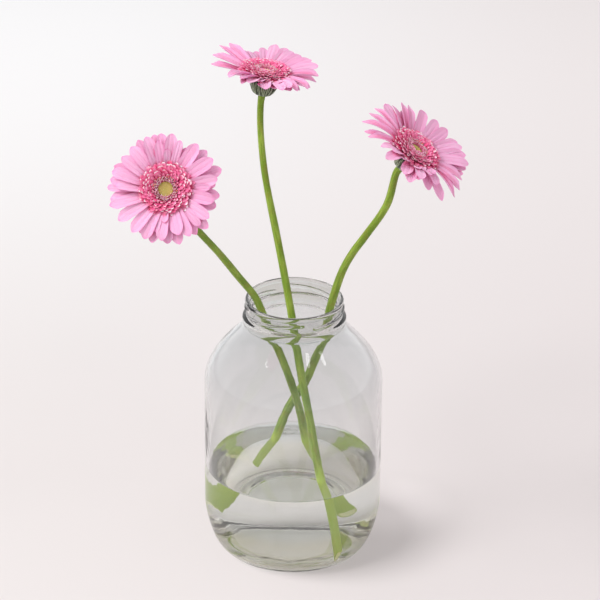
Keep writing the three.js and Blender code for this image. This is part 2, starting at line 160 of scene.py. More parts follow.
# A bloom has the top of its stem, its axis, its stem's points and radii (foot, middle, head), the way and
# slant of the cut foot, and how many florets lean in on its near side. Its petals are in three whorls, each
# with bearing, reach, tip height and, where it isn't RAY_WIDTH, width. Folded: from one bearing to another,
# by how much, and how pointed. Rolled: from one bearing to another, by how many degrees.
BLOOMS = [
    {
        "name": "left", "hooded": 0,
        "top": (-79.1, -72.5, 288.6),
        "axis": (-0.06, -0.84, 0.54),
        "seed": 11,
        "stem": [(18, 40.5, 12), (15, 37, 25), (8.5, 29.5, 59.5), (4.5, 21, 85.5), (-2, 11, 114.5),
            (-12.5, -0.5, 150), (-20.5, -10.5, 175), (-25.7, -16, 190), (-36.5, -25.5, 209.3),
            (-49, -36.6, 231.4), (-60, -46, 249), (-71, -55.4, 267.8)],
        "radii": (2.9, 2.5, 2.1),
        "cut": (0.5, -0.86, 2.0),
        "low": [(95, 35.4, 15), (64, 29, 15), (44, 35, 15), (21, 36.6, 15), (6, 30.8, 15, 5),
            (353, 33.6, 15), (341, 33.1, 15), (317, 35.8, 15), (305, 34.2, 14), (285, 35.4, 14),
            (273, 33.8, 14), (256, 34.3, 14), (240, 31.5, 14), (189, 35.1, 15), (178, 36.4, 15, 5.5),
            (169, 35.3, 15), (155, 35.5, 15), (120, 35.6, 15), (104, 35.2, 15)],
        "high": [(84, 34.5, 19), (73, 31.4, 19, 5), (54, 34, 19, 8.4), (33, 34.6, 19, 8.4), (11, 32.8, 19),
            (1, 28, 18, 5), (347, 31, 19), (327, 33, 19), (314, 31.5, 17, 5.5), (297, 33.5, 18),
            (287, 30.4, 19, 8.4), (267, 32.5, 18), (258, 27.7, 18, 4.5), (247, 33.8, 17), (233, 34, 18),
            (214, 35.2, 19), (197, 36, 19), (176, 31, 19), (161, 35, 19), (144, 33.7, 19), (129, 34, 19),
            (111, 34.8, 19)],
        "short": [(100, 30, 19.5, 6), (88, 24.7, 19.4, 5), (115, 24, 19, 5), (270, 21.5, 18.6, 5)],
        "folded": [],
        "rolled": [],
    },
    {
        "name": "middle", "hooded": 20,
        "top": (-23, 75, 294.3),
        "axis": (0.146, 0.051, 0.988),
        "seed": 23,
        "stem": [(28.6, -35, 11.4), (22.7, -30, 42), (19, -26, 59.5), (15.5, -20.5, 75), (10, -11, 103),
            (5, -1, 125.5), (2, 6, 141), (-1.5, 14.8, 159.5), (-6.8, 26, 185.2), (-12.2, 37, 209.2),
            (-20.7, 54.5, 247.2), (-23.9, 67.5, 275.6)],
        "radii": (2.95, 2.6, 2.05),
        "cut": (0.7, -0.3, 1.9),
        "low": [(177, 36.5, 15, 6.5), (102, 34, 17), (88, 33, 16), (70, 33, 16), (50, 34, 17),
            (30, 34.5, 15), (10, 35, 13.5), (340, 32, 13.5), (322, 29.5, 13, 6), (309, 27, 13.5),
            (292, 24.5, 13.8), (268, 22, 12.5), (235, 27, 14), (207, 28, 15.5), (148, 34, 17),
            (127, 34, 17)],
        "high": [(173, 36.6, 21, 7.4), (156, 36, 24.5, 7), (139, 35, 24, 7.4), (121, 33.5, 20.5),
            (109, 33.8, 18.5), (95, 33.5, 20.3, 6.6), (82, 35, 24.3), (68, 35, 22.5), (61, 35, 23),
            (51, 35, 22), (35, 36, 22), (23, 37.3, 20), (4, 35.1, 17.8), (331, 33, 15.2),
            (315, 31, 14.2, 7), (302, 31, 16.8, 7), (292, 31, 15.2, 7), (271, 27, 13, 7.4),
            (250, 31, 16.3, 7), (239, 32, 17.8, 7), (224, 34, 18)],
        "short": [(262, 22, 17, 5), (298, 23, 17, 5)],
        "folded": [(150, 180, 0.8, 0.8), (130, 149, 0.6, 0.9), (200, 245, 0.8, 0.2), (312, 345, 0.7, 0.4),
            (0, 10, 0.9, 0.3)],
        "rolled": [(135, 180, -16), (0, 40, 14)],
    },
    {
        "name": "right", "hooded": 22,
        "top": (67, -20, 284.9),
        "axis": (0.543, -0.193, 0.818),
        "seed": 37,
        "stem": [(-25.6, 37.8, 13), (-20, 37, 33), (-12, 33.5, 60), (-3.5, 29, 84.5), (8, 22, 109),
            (13.5, 14, 128), (19, 3, 150), (23.6, -11, 181.4), (31, -16, 209.6), (37.6, -17.8, 223.8),
            (45, -18.6, 235.4), (58.7, -19.4, 258.6)],
        "radii": (3.05, 2.75, 2.3),
        "cut": (-1, 0, 1),
        "low": [(181, 35.3, 10.6, 6), (127, 33, 17), (97, 33, 18), (78, 33, 18), (60, 33, 18),
            (42, 33.5, 18), (0, 36, 16.5), (342, 36.5, 13, 5), (313, 36.3, 8.2, 6.5), (301, 28.1, 10, 6),
            (277, 26, 13), (267, 28.5, 10), (256, 25.5, 12), (113, 33, 18), (24, 34, 18), (8, 38, 19)],
        "high": [(161, 37.6, 16, 5), (151, 37.4, 19, 5.5), (139, 35.7, 21.3), (126, 33.8, 22),
            (116, 34.7, 24, 7), (105, 34.7, 24, 7), (88, 35, 24), (68, 35, 23.5), (54, 35, 24),
            (37, 35, 23.5), (30, 36.3, 24), (21, 36.8, 22.6), (10, 37.5, 23), (349, 36, 17, 6.5),
            (337, 38, 14.8, 5), (330, 38.1, 10, 5.5), (307, 28.5, 15.5, 5.5), (276, 28.5, 16.5, 7),
            (226, 29.5, 12.5), (207, 28.5, 14.5), (191, 34.6, 12.5, 5.5), (170, 39, 12.5, 5.5)],
        "short": [(295, 23.6, 19.3, 5.5), (303, 22.9, 20, 5.5), (272, 21.6, 17.7, 5.5), (243, 21, 17, 6),
            (222, 24.5, 18.6, 6.5), (286, 19.5, 18.4, 5)],
        "folded": [(148, 200, 1.0, 0.9), (320, 350, 0.9, 0.8), (100, 120, 0.5, 0.5)],
        "rolled": [(135, 200, -14), (310, 350, 12)],
    },
]

# Colours, sRGB 0 to 255
PETAL = (243, 187, 220)
PETAL_WARM = (239, 170, 209)
PETAL_EDGE = (242, 144, 204)
# colour of the veins, also used for painted shade along the grooves
PETAL_VEIN_AND_GROOVE_SHADE = (231, 144, 191)
# deeper pink of the root, also used for painted shade in folds and crevices
PETAL_ROOT_AND_SHADE = (228, 88, 138)
PETAL_UNDER = (233, 168, 208)
PETAL_UNDER_VEIN = (217, 136, 181)
TONGUE = (238, 90, 146)
TONGUE_LIGHT = (246, 148, 190)
# painted shade between the tongues and low in the ring
TONGUE_SHADE = (202, 44, 94)
TONGUE_BACK = (246, 152, 192)
# pale tip, partly a painted highlight
TONGUE_TIP_AND_GLINT = (255, 236, 242)
ANTHER = (176, 84, 40)
ANTHER_DARK = (118, 48, 30)
POLLEN = (244, 150, 48)
EYE = (222, 202, 130)
EYE_DARK = (188, 168, 90)
EYE_DIMPLE = (150, 128, 66)
EYE_RIM = (222, 212, 98)
EYE_POWDER = (240, 228, 164)
STEM = (106, 134, 28)
STEM_PALE = (142, 164, 60)
STEM_BROWN = (132, 124, 50)
# painted light on the stem where it stands in the water
STEM_IN_WATER_LIT = (172, 196, 78)
PITH = (226, 230, 170)
BRACT = (74, 90, 56)
BRACT_LIGHT = (92, 106, 74)
BRACT_PALE = (164, 172, 146)
BRACT_DARK = (34, 46, 26)
BRACT_TIP = (92, 60, 66)
DOWN = (220, 224, 206)
DOWN_GREEN = (196, 204, 168)
# the floor's colours hold painted light and shade: lighter far off and to the left, darker near
FLOOR_NEAR_LEFT = (223, 217, 216)
FLOOR_NEAR_RIGHT = (229, 221, 221)
FLOOR_FAR_LEFT = (255, 254, 255)
FLOOR_FAR_RIGHT = (249, 242, 242)
FLOOR_UNDER = (246, 243, 240)
FLOOR_BEHIND = (234, 232, 233)
FLOOR_LIT = (246, 238, 238)
# light that the water gathers behind the jar, under it and beside its shadow, metres: centre, radius where
# each begins and where it is full
FLOOR_PATCHES = [(0, 0.05, 0.062, 0.045, FLOOR_BEHIND), (0, 0, 0.048, 0.038, FLOOR_UNDER),
                 (0.066, 0.05, 0.05, 0.01, FLOOR_LIT)]
# glass tints by place on the jar, painted light and shade
GLASS_SHOULDER = (234, 236, 237)
GLASS_BODY = (245, 246, 246)
GLASS_NECK = (220, 221, 219)
GLASS_WATER_BAND = (236, 238, 243)
GLASS_HEEL = (236, 233, 228)
# painted glint on the beads of the base ring
GLASS_BEAD_GLINT = (255, 255, 255)
# going up the jar, metres: height where each tint begins and where it is full; the tints are painted light
# and shade, not a change in the glass
GLASS_TINTS = [(0.024, 0.036, GLASS_WATER_BAND), (0.055, 0.064, GLASS_BODY), (0.1, 0.135, GLASS_SHOULDER),
               (0.16, 0.167, GLASS_NECK)]
WATER = (253, 253, 249)
WATER_HAZE = (251, 251, 245)

# Stage, metres
FLOOR_SIZE = 30
FLOOR_ACROSS = (-0.28, 0.26)
FLOOR_AWAY = (0.05, 1.0)
SKY_STRENGTH = 1.17
SKY_TOP = 0.32
KEY_SPOT = (-1.0, -0.42, 1.6)
KEY_TARGET = (0, 0, 0.1)
KEY_SIZE = 1.1
KEY_POWER = 23
# small lamps that the shoulder mirrors: place to the side, place in front, size
SPARKS = [(-0.98, -0.73, 0.26), (0.66, -0.8, 0.17), (1.3, -0.42, 0.17)]
SPARK_HEIGHT = 1.75
SPARK_TARGET = (0, 0, 0.16)
SPARK_POWER = 14                       # for a size of 1
GLASS_BOUNCES = 32


def smooth(t, low, high):
    t = np.clip((t - low) / (high - low), 0, 1)
    return t * t * (3 - 2 * t)


def unit(v):
    v = np.asarray(v, float)
    return v / np.linalg.norm(v)


def turns(count):
    return np.linspace(0, 2 * pi, count, endpoint=False)


def draws(seed):
    """Small seeded random draw, the same as the solids use."""
    state = seed
    while True:
        state = state * 16807 % 2147483647
        yield state / 2147483647


def turn_matrix():
    c, s = cos(FACING), sin(FACING)
    return np.array([[c, -s, 0], [s, c, 0], [0, 0, 1]])


def put_in_scene(name, data):
    thing = bpy.data.objects.new(name, data)
    bpy.context.scene.collection.objects.link(thing)
    return thing


def stand(thing, right, up, back, spot):
    """Set a lamp's or camera's axes and its place, in metres."""
    axes = np.stack([right, up, back], -1).tolist()
    thing.matrix_world = Matrix([[*row, p] for row, p in zip(axes, spot)] + [[0, 0, 0, 1]])


def grid_faces(rows, columns, wrap=False, offset=0, flip=False):
    faces = []
    for r in range(rows - 1):
        for c in range(columns if wrap else columns - 1):
            d = (c + 1) % columns
            face = (r * columns + c, r * columns + d, (r + 1) * columns + d, (r + 1) * columns + c)
            faces.append(tuple(offset + i for i in (face[::-1] if flip else face)))
    return faces


def blade_faces(rows, columns):
    """Upper and lower grids of one blade, joined round their edge."""
    size = rows * columns
    faces = grid_faces(rows, columns, flip=True) + grid_faces(rows, columns, offset=size)
    edge = list(range(columns))
    edge += [r * columns + columns - 1 for r in range(1, rows)]
    edge += [(rows - 1) * columns + c for c in range(columns - 2, -1, -1)]
    edge += [r * columns for r in range(rows - 2, 0, -1)]
    for a, b in zip(edge, edge[1:] + edge[:1]):
        faces.append((a, b, b + size, a + size))
    return faces


def tube_faces(rows, sides):
    faces = grid_faces(rows, sides, wrap=True)
    faces.append(tuple(range(sides))[::-1])
    faces.append(tuple((rows - 1) * sides + i for i in range(sides)))
    return faces


def bloom_axes(bloom):
    """A bloom's own axes: Z along its axis, X the level direction nearest to the world's X."""
    z = unit(bloom["axis"])
    x = unit(np.array([1.0, 0, 0]) - z[0] * z)
    return np.array([x, np.cross(z, x), z])


def radial(bearing):
    """Outward and sideways directions at a bearing in a bloom's frame."""
    out = np.array([cos(bearing), sin(bearing), 0])
    side = np.array([-sin(bearing), cos(bearing), 0])
    return out, side


UP = np.array([0.0, 0, 1])
SIDES = np.array([1.0, -1])[:, None, None]          # upper and lower side of a blade
UNDER = (1 - SIDES) / 2


class Skin:
    """Gathers closed shells with values at their points, and makes one mesh object of them.

    The points of a bloom's skin are given in the bloom's own frame, unless it stands in the jar's.
    """

    def __init__(self, bloom=None, in_jar=False):
        self.prefix = f"{bloom['name']}_" if bloom else ""
        self.axes, self.origin = np.eye(3), np.zeros(3)
        if bloom and not in_jar:
            self.axes, self.origin = bloom_axes(bloom), np.array(bloom["top"], float)
        self.points = []
        self.faces = []
        self.values = {}
        self.count = 0

    def add(self, points, faces, **values):
        points = np.asarray(points, float).reshape(-1, 3) @ self.axes + self.origin
        self.faces.extend([tuple(i + self.count for i in face) for face in faces])
        self.points.append(points)
        for name, value in values.items():
            spread = np.broadcast_to(np.ravel(value).astype(float), (len(points),))
            self.values.setdefault(name, []).append(spread)
        self.count += len(points)

    def turned(self, profile, sides, **values):
        """Add a solid turned about Z from its radii and heights."""
        points = [[(r * cos(a), r * sin(a), z) for a in turns(sides)] for r, z in profile]
        self.add(points, tube_faces(len(profile), sides), **values)

    def rod(self, rings, bearing, sides, along, **values):
        """Add a rod through level rings, each with its centre and radius."""
        out_way, side_way = radial(bearing)
        points = [[centre + size * (out_way * cos(a) + side_way * sin(a)) for a in turns(sides)]
                  for centre, size in rings]
        self.add(points, tube_faces(len(rings), sides), along=np.repeat(along, sides), **values)

    def blade(self, points, **values):
        """Add a blade from its upper and lower grids of points, with values over one grid or both."""
        spread = {name: np.broadcast_to(value, points.shape[:3]) for name, value in values.items()}
        self.add(points, blade_faces(*points.shape[1:3]), **spread)

    def build(self, part, slot, material, sharp=50, replaces=True):
        """Make the mesh object. It replaces the node that is named after its slot, if any."""
        points = np.concatenate(self.points) @ turn_matrix().T * MM
        mesh = bpy.data.meshes.new(self.prefix + part)
        mesh.from_pydata(points.tolist(), [], self.faces)
        for key, parts in self.values.items():
            layer = mesh.attributes.new(key, "FLOAT", "POINT")
            layer.data.foreach_set("value", np.concatenate(parts))
        mesh.shade_smooth()
        mesh.set_sharp_from_angle(angle=radians(sharp))
        mesh.materials.append(material)
        piece = put_in_scene(self.prefix + part, mesh)
        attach(piece, "root")
        if replaces:
            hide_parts(self.prefix + slot)
        return piece


# Materials

def linear(colour):
    channel = np.asarray(colour, float) / 255
    low = channel / 12.92
    high = ((channel + 0.055) / 1.055) ** 2.4
    return (*np.where(channel <= 0.04045, low, high).tolist(), 1.0)


def put(socket, value):
    """Link or set an input of a node."""
    if isinstance(value, bpy.types.NodeSocket):
        socket.id_data.links.new(value, socket)
    else:
        socket.default_value = value


def add_node(tree, kind, inputs, **settings):
    """Add a node with its settings, and fill its inputs, given by name or number."""
    node = tree.nodes.new("ShaderNode" + kind)
    for name, value in settings.items():
        setattr(node, name, value)
    for key, value in inputs.items():
        put(node.inputs[key], value)
    return node


class Shader:
    """A material with a Principled shader, and short ways to add nodes to it."""

    def __init__(self, name):
        self.material = bpy.data.materials.new(name)
        self.material.use_nodes = True
        self.inputs = self.material.node_tree.nodes["Principled BSDF"].inputs

    def node(self, kind, inputs, **settings):
        return add_node(self.material.node_tree, kind, inputs, **settings)

    def value(self, name):
        return self.node("Attribute", {}, attribute_name=name).outputs["Fac"]

    def math(self, operation, a, b=0.0, clamp=False):
        return self.node("Math", {0: a, 1: b}, operation=operation, use_clamp=clamp).outputs[0]

    def times(self, a, b):
        return self.math("MULTIPLY", a, b)

    def plus(self, a, b, clamp=False):
        return self.math("ADD", a, b, clamp)

    def step(self, a, low, high, start=0.0, end=1.0):
        inputs = {"Value": a, "From Min": low, "From Max": high, "To Min": start, "To Max": end}
        return self.node("MapRange", inputs, interpolation_type="SMOOTHSTEP").outputs["Result"]

    def mix(self, share, *colours):
        node = self.node("Mix", {"Factor": share}, data_type="RGBA")
        for socket, colour in zip([i for i in node.inputs if i.type == "RGBA"], colours):
            put(socket, colour if isinstance(colour, bpy.types.NodeSocket) else linear(colour))
        return [o for o in node.outputs if o.type == "RGBA"][0]

    def vector(self, x, y, z):
        return self.node("CombineXYZ", {0: x, 1: y, 2: z}).outputs[0]

    def place(self):
        return self.node("TexCoord", {}).outputs["Object"]

    def noise(self, vector, scale, detail):
        return self.node("TexNoise", {"Vector": vector, "Scale": scale, "Detail": detail}).outputs[0]

    def bump(self, height, strength, distance):
        inputs = {"Height": height, "Strength": strength, "Distance": distance}
        put(self.inputs["Normal"], self.node("Bump", inputs).outputs[0])

    def colour(self, socket):
        put(self.inputs["Base Color"], socket)

    def set(self, **numbers):
        names = {"roughness": "Roughness", "ior": "IOR", "transmission": "Transmission Weight",
                 "subsurface": "Subsurface Weight", "sss_scale": "Subsurface Scale",
                 "sss_radius": "Subsurface Radius", "sheen": "Sheen Weight",
                 "specular": "Specular IOR Level"}
        for key, value in numbers.items():
            self.inputs[names[key]].default_value = value


def petal_material():
    """Pale pink with long veins and grooves, deeper at the edges and root, with painted shade along the
    grooves, in folds and between petals.
    """
    s = Shader("pink_petal")
    along, across = s.value("along"), s.value("across")
    tone, crease, under, crevice_shade = s.value("tone"), s.value("crease"), s.value("under"), s.value("crevice_shade")
    off = s.math("ABSOLUTE", across)
    edge = s.times(s.step(off, 0.85, 1), s.step(along, 0.3, 0.75))
    rim = s.math("MAXIMUM", edge, s.step(along, 0.92, 1))
    root = s.step(along, 0, 0.5, 1, 0)
    streaks = s.noise(s.vector(s.times(across, 9), s.times(along, 1.3), s.times(tone, 40)), 1, 4)
    veins = s.step(streaks, 0.46, 0.68)
    groove = s.math("ABSOLUTE", s.math("SUBTRACT", off, GROOVE_PLACE))
    groove = s.times(s.step(groove, 0, 0.08, 1, 0), s.step(along, 1, 0.3))
    base = s.mix(s.times(tone, 0.6), PETAL, PETAL_WARM)
    base = s.mix(s.times(rim, 0.6), base, PETAL_EDGE)
    # painted shade along the grooves, mixed with the veins' own deeper colour
    veins_and_groove_shade = s.plus(s.times(groove, 0.6), s.times(veins, 0.3), clamp=True)
    base = s.mix(veins_and_groove_shade, base, PETAL_VEIN_AND_GROOVE_SHADE)
    # painted shade in folds and where blades crowd close, added to the root's deeper pink, which is partly
    # its own tint and partly painted shade
    depth = s.plus(s.times(root, 0.34), s.times(crease, 0.8))
    depth = s.plus(depth, s.times(s.step(crevice_shade, 0.25, 1), 0.6), clamp=True)
    upper = s.mix(depth, base, PETAL_ROOT_AND_SHADE)
    beneath = s.mix(s.times(veins, 0.4), PETAL_UNDER, PETAL_UNDER_VEIN)
    s.colour(s.mix(s.times(under, 0.7), upper, beneath))
    s.bump(s.plus(streaks, s.times(groove, -0.6)), 0.4, 0.0004)
    s.set(roughness=0.65, subsurface=0.5, sss_scale=0.0002, sss_radius=(1, 0.9, 0.95), specular=0.2)
    return s.material


def tongue_material():
    """Bright pink tongues with painted shade between them and low down, and on some a pale lobed tip,
    partly a painted highlight.
    """
    s = Shader("pink_tongue")
    along, tone, pale, crevice_shade = s.value("along"), s.value("tone"), s.value("pale"), s.value("crevice_shade")
    body = s.mix(s.times(tone, 0.8), TONGUE, TONGUE_LIGHT)
    # painted shade: darker in crevices and low on each tongue, less on pale-tipped ones
    dark = s.times(s.step(crevice_shade, 0.3, 1), s.math("SUBTRACT", 1, s.times(pale, 0.6)))
    dark = s.math("MAXIMUM", s.step(along, 0.5, 0.1), dark)
    body = s.mix(s.times(dark, 0.8), body, TONGUE_SHADE)
    back = s.mix(s.step(along, 0.3, 0), TONGUE_BACK, TONGUE)
    body = s.mix(s.value("under"), body, back)
    speck = s.noise(s.place(), 900, 2)
    # the pale tip is partly the floret's own colour and partly a painted highlight on its curled lip
    tip = s.times(s.step(along, 0.8, 0.93), s.step(speck, 0.2, 0.5, 0.7, 1))
    s.colour(s.mix(s.times(tip, pale), body, TONGUE_TIP_AND_GLINT))
    s.bump(speck, 0.2, 0.0002)
    s.set(roughness=0.55, subsurface=0.5, sss_scale=0.0002, sss_radius=(1, 0.85, 0.9), specular=0.25)
    return s.material


def anther_material():
    s = Shader("brown_anther")
    along = s.value("along")
    grain = s.noise(s.place(), 2500, 2)
    shaft = s.mix(s.step(grain, 0.4, 0.65), ANTHER, ANTHER_DARK)
    s.colour(s.mix(s.step(along, 0.75, 0.95), shaft, POLLEN))
    s.bump(grain, 0.5, 0.0002)
    s.set(roughness=0.8, specular=0.2)
    return s.material


def eye_material():
    """Closed florets: dark between and towards the middle, yellow at the outer tips."""
    s = Shader("closed_florets")
    along, out = s.value("along"), s.value("out")
    bud = s.mix(s.step(along, 0, 0.8), EYE_DARK, EYE)
    bud = s.mix(s.times(s.step(out, 0.7, 1), s.step(along, 0.3, 1)), bud, EYE_RIM)
    bud = s.mix(s.step(out, 0.22, 0.08, 0, 0.7), bud, EYE_DIMPLE)
    grain = s.noise(s.place(), 1800, 3)
    s.colour(s.mix(s.step(grain, 0.4, 0.8, 0, 0.35), bud, EYE_POWDER))
    s.bump(grain, 0.3, 0.0002)
    s.set(roughness=0.7, subsurface=0.15, sss_scale=0.0008, specular=0.25)
    return s.material


def bract_material():
    """Grey-green bracts with a pale downy keel and dark seams."""
    s = Shader("downy_bract")
    along, across = s.value("along"), s.value("across")
    off = s.math("ABSOLUTE", across)
    grain = s.noise(s.place(), 1500, 4)
    skin = s.mix(s.step(grain, 0.35, 0.7), BRACT, BRACT_LIGHT)
    skin = s.mix(s.times(s.step(off, 0.4, 0.1), 0.9), skin, BRACT_PALE)
    skin = s.mix(s.times(s.step(off, 0.5, 0.8), 0.9), skin, BRACT_DARK)
    s.colour(s.mix(s.times(s.step(along, 0.85, 1), 0.6), skin, BRACT_TIP))
    s.bump(grain, 0.5, 0.0003)
    s.set(roughness=0.8, sheen=0.4, specular=0.2)
    return s.material


def stem_material():
    """Green skin with fine ribs and mottling, painted lighter and brighter low down where it stands in
    water, and pith at the cut foot.
    """
    s = Shader("green_stem")
    along, around, cut = s.value("along"), s.value("around"), s.value("cut")
    streaks = s.noise(s.vector(s.times(around, 5), s.times(along, 14), 0), 1, 5)
    mottle = s.noise(s.place(), 160, 4)
    skin = s.mix(s.step(streaks, 0.38, 0.66), STEM, STEM_PALE)
    skin = s.mix(s.step(mottle, 0.5, 0.72, 0, 0.45), skin, STEM_BROWN)
    # painted light: the stem is paler and brighter low down, where it stands in the water
    skin = s.mix(s.step(along, 0.2, 0.16, 0, 0.85), skin, STEM_IN_WATER_LIT)
    down = s.noise(s.place(), 2600, 2)
    skin = s.mix(s.step(down, 0.6, 0.78, 0, 0.22), skin, DOWN)
    s.colour(s.mix(cut, skin, PITH))
    s.bump(s.plus(streaks, s.times(down, 0.4)), 0.4, 0.0004)
    s.set(roughness=0.6, subsurface=0.12, sss_scale=0.001, sheen=0.12, specular=0.3)
    return s.material


def down_material():
    s = Shader("pale_down")
    grain = s.noise(s.place(), 700, 2)
    s.colour(s.mix(grain, DOWN, DOWN_GREEN))
    s.set(roughness=0.7, specular=0.2)
    return s.material


def glass_material():
    """Clear pressed glass, very slightly grey-green, with the faint waviness of a mould; its tint, painted
    light and shade, changes at the heel and up the jar.
    """
    s = Shader("clear_glass")
    split = s.node("SeparateXYZ", {0: s.place()}).outputs
    height = split["Z"]
    flat = s.vector(split["X"], split["Y"], 0)
    aside = s.node("VectorMath", {0: flat}, operation="LENGTH").outputs["Value"]
    # painted light and shade: the glass is tinted differently at the heel and in bands up the jar
    tint = s.mix(s.step(aside, 0.038, 0.03), GLASS_HEEL, GLASS_BODY)
    for low, high, colour in GLASS_TINTS:
        tint = s.mix(s.step(height, low, high), tint, colour)
    # the beads of the ring that the jar stands on are made white and rough, a painted glint for the light
    # they catch
    bead_glint = s.step(s.value("stipple"), 0.2, 0.6)
    s.colour(s.mix(bead_glint, tint, GLASS_BEAD_GLINT))
    put(s.inputs["Transmission Weight"], s.math("SUBTRACT", 1, s.times(bead_glint, 0.8)))
    put(s.inputs["Roughness"], s.times(bead_glint, 0.4))
    s.bump(s.noise(s.place(), 55, 2), 0.06, 0.002)
    s.set(ior=1.5)
    return s.material


def water_material():
    s = Shader("clear_water")
    s.colour(s.mix(s.noise(s.place(), 25, 2), WATER, WATER_HAZE))
    s.set(roughness=0, ior=1.333, transmission=1)
    return s.material


# Jar

def swell(start, end, t, rise, run):
    return start + (end - start) * (1 - (1 - t) ** rise) ** (1 / run)


def heel(edge_radius, edge_height, full_radius, full_height, steps):
    return [(swell(edge_radius, full_radius, v, 1.46, 2.26), edge_height + (full_height - edge_height) * v)
            for v in np.linspace(0, 1, steps + 1) ** 2]


def shoulder(body_radius, start, neck_radius, end, steps):
    return [(swell(neck_radius, body_radius, 1 - v, 1.94, 0.8), start + (end - start) * v)
            for v in np.linspace(0, 1, steps + 1)]


def at_level(level, *points):
    """Points of a profile whose heights are given from a level."""
    return [(radius, level + height) for radius, height in points]


def inner_floor():
    return [*at_level(FLOOR_TOP, (0, 0), (8, 0), (16, 0), (24, -0.05), (PUSH_UP_RADIUS - 1, -0.2),
                      (30.5, -0.6)), (33, 6.7), (36, 5.5),
            *heel(FLOOR_EDGE_RADIUS, FLOOR_EDGE_TOP, BODY_RADIUS - WALL, HEEL_HEIGHT + 1, 22)]


def jar_outside():
    base = at_level(PUSH_UP, (0, 0), (10, 0), (20, 0), (27, 0), (PUSH_UP_RADIUS, -0.15), (30.2, -0.7))
    base += [(31, 3.0), (32.5, 2.3), (34.5, 1.7), (36, 1.0), (37, 0.55), (37.9, 0.42), (38.7, 0.4),
             (39.5, 0.4), (40.3, 0.4), (41.1, 0.4), (41.9, 0.42)]
    straight = [(BODY_RADIUS, z) for z in np.linspace(HEEL_HEIGHT + 4, SHOULDER_START - 4, 18)]
    neck = at_level(NECK_START, (33.1, 0.6), (33.8, 1.4), (BEAD_RADIUS, 2.6), (BEAD_RADIUS + 0.05, 4),
                    (BEAD_RADIUS, 5.2), (33.6, 6.2), (32.6, 6.9), (31.9, 7.4))
    threads = [(NECK_RADIUS, z) for z in np.arange(NECK_START + 7.9, JAR_HEIGHT - 3.6, 0.3)]
    rim = at_level(JAR_HEIGHT, (NECK_RADIUS + 0.1, -3.5), (32.1, -3.1), (RIM_RADIUS, -2.5),
                   (RIM_RADIUS, -1.6), (32.2, -0.8), (31.7, -0.25), (31.0, 0))
    return [*base, *heel(RING_OUTER_RADIUS, 0.15, BODY_RADIUS, HEEL_HEIGHT, 26), *straight,
            *shoulder(BODY_RADIUS, SHOULDER_START, SHOULDER_END_RADIUS, NECK_START, 26),
            *neck, *threads, *rim]


def jar_inside():
    straight = [(BODY_RADIUS - WALL, z) for z in np.linspace(HEEL_HEIGHT + 5, SHOULDER_START - 5, 18)]
    mouth = at_level(NECK_START, (MOUTH_RADIUS, 3), (MOUTH_RADIUS, 8), (MOUTH_RADIUS, 13))
    mouth += at_level(JAR_HEIGHT, (MOUTH_RADIUS, -1.8), (MOUTH_RADIUS + 0.2, -1),
                      (MOUTH_RADIUS + 0.6, -0.35))
    return [*inner_floor(), *straight,
            *shoulder(BODY_RADIUS - WALL, SHOULDER_START - 0.8, MOUTH_RADIUS + 0.1, NECK_START - 1, 24),
            *mouth]


def lathe(profile, sides):
    """Grids of radius, angle and height, with both ends on the axis."""
    radius, height = np.array(profile[1:-1], float).T[..., None]
    return np.broadcast_arrays(radius, turns(sides)[None, :], height)


def lathe_skin(profile, radius, angle, height, **values):
    """A closed skin from grids of radius, angle and height, with values over them."""
    rows, sides = radius.shape
    ring = np.stack([radius * np.cos(angle), radius * np.sin(angle), height], -1).reshape(-1, 3)
    points = np.vstack([[0, 0, profile[0][1]], ring, [0, 0, profile[-1][1]]])
    faces = grid_faces(rows, sides, wrap=True, offset=1)
    last = 1 + (rows - 1) * sides
    for i in range(sides):
        j = (i + 1) % sides
        faces.append((0, 1 + j, 1 + i))
        faces.append((last + i, last + j, len(points) - 1))
    skin = Skin()
    skin.add(points, faces, **{name: [0, *value.ravel(), 0] for name, value in values.items()})
    return skin


def thread_height(angle, height):
    """How proud the closure threads stand at each place on the neck."""
    proud = np.zeros_like(angle)
    for i in range(LUG_COUNT):
        start = 2 * pi * i / LUG_COUNT + LUG_START
        along = ((angle - start) % (2 * pi)) / LUG_SPAN
        centre = LUG_LOW + LUG_RISE * along
        across = np.clip(1 - ((height - centre) / LUG_HALF) ** 2, 0, 1) ** 0.7
        ends = smooth(along, 0, 0.12) * (1 - smooth(along, 0.88, 1.0))
        proud = np.maximum(proud, np.where(along <= 1, LUG_PROUD * across * ends, 0))
    return proud


def make_jar():
    outside = jar_outside()
    profile = outside + jar_inside()[::-1]
    radius, angle, height = lathe(profile, JAR_SIDES)
    outer = np.arange(len(radius))[:, None] < len(outside) - 1
    on_neck = outer & (height > NECK_START + 7.5) & (height < JAR_HEIGHT - 3.4)
    radius = radius + np.where(on_neck, thread_height(angle, height), 0)
    ripple = sum(size * np.sin(waves * angle + climb * height + start)
                 for size, waves, climb, start in RIPPLES)
    fade = smooth(height, 14, 40) * (1 - smooth(height, 140, 165))
    radius = radius + np.where(~outer, ripple * fade, 0)
    on_ring = outer & (radius > KNURL_INNER) & (radius < KNURL_OUTER) & (height < 1)
    knurl = 0.5 + 0.5 * np.cos(KNURLS * angle)
    swelling = np.clip(1 - ((radius - KNURL_RADIUS) / KNURL_SPREAD) ** 2, 0, 1)
    height = height - np.where(on_ring, KNURL_DEPTH * knurl * swelling, 0)
    skin = lathe_skin(profile, radius, angle, height, stipple=on_ring * knurl * swelling)
    jar = skin.build("glass_jar", "jar", glass_material(), sharp=80)
    # clear glass takes little light from what stands in it and round it
    jar.visible_shadow = False
    jar.visible_diffuse = False


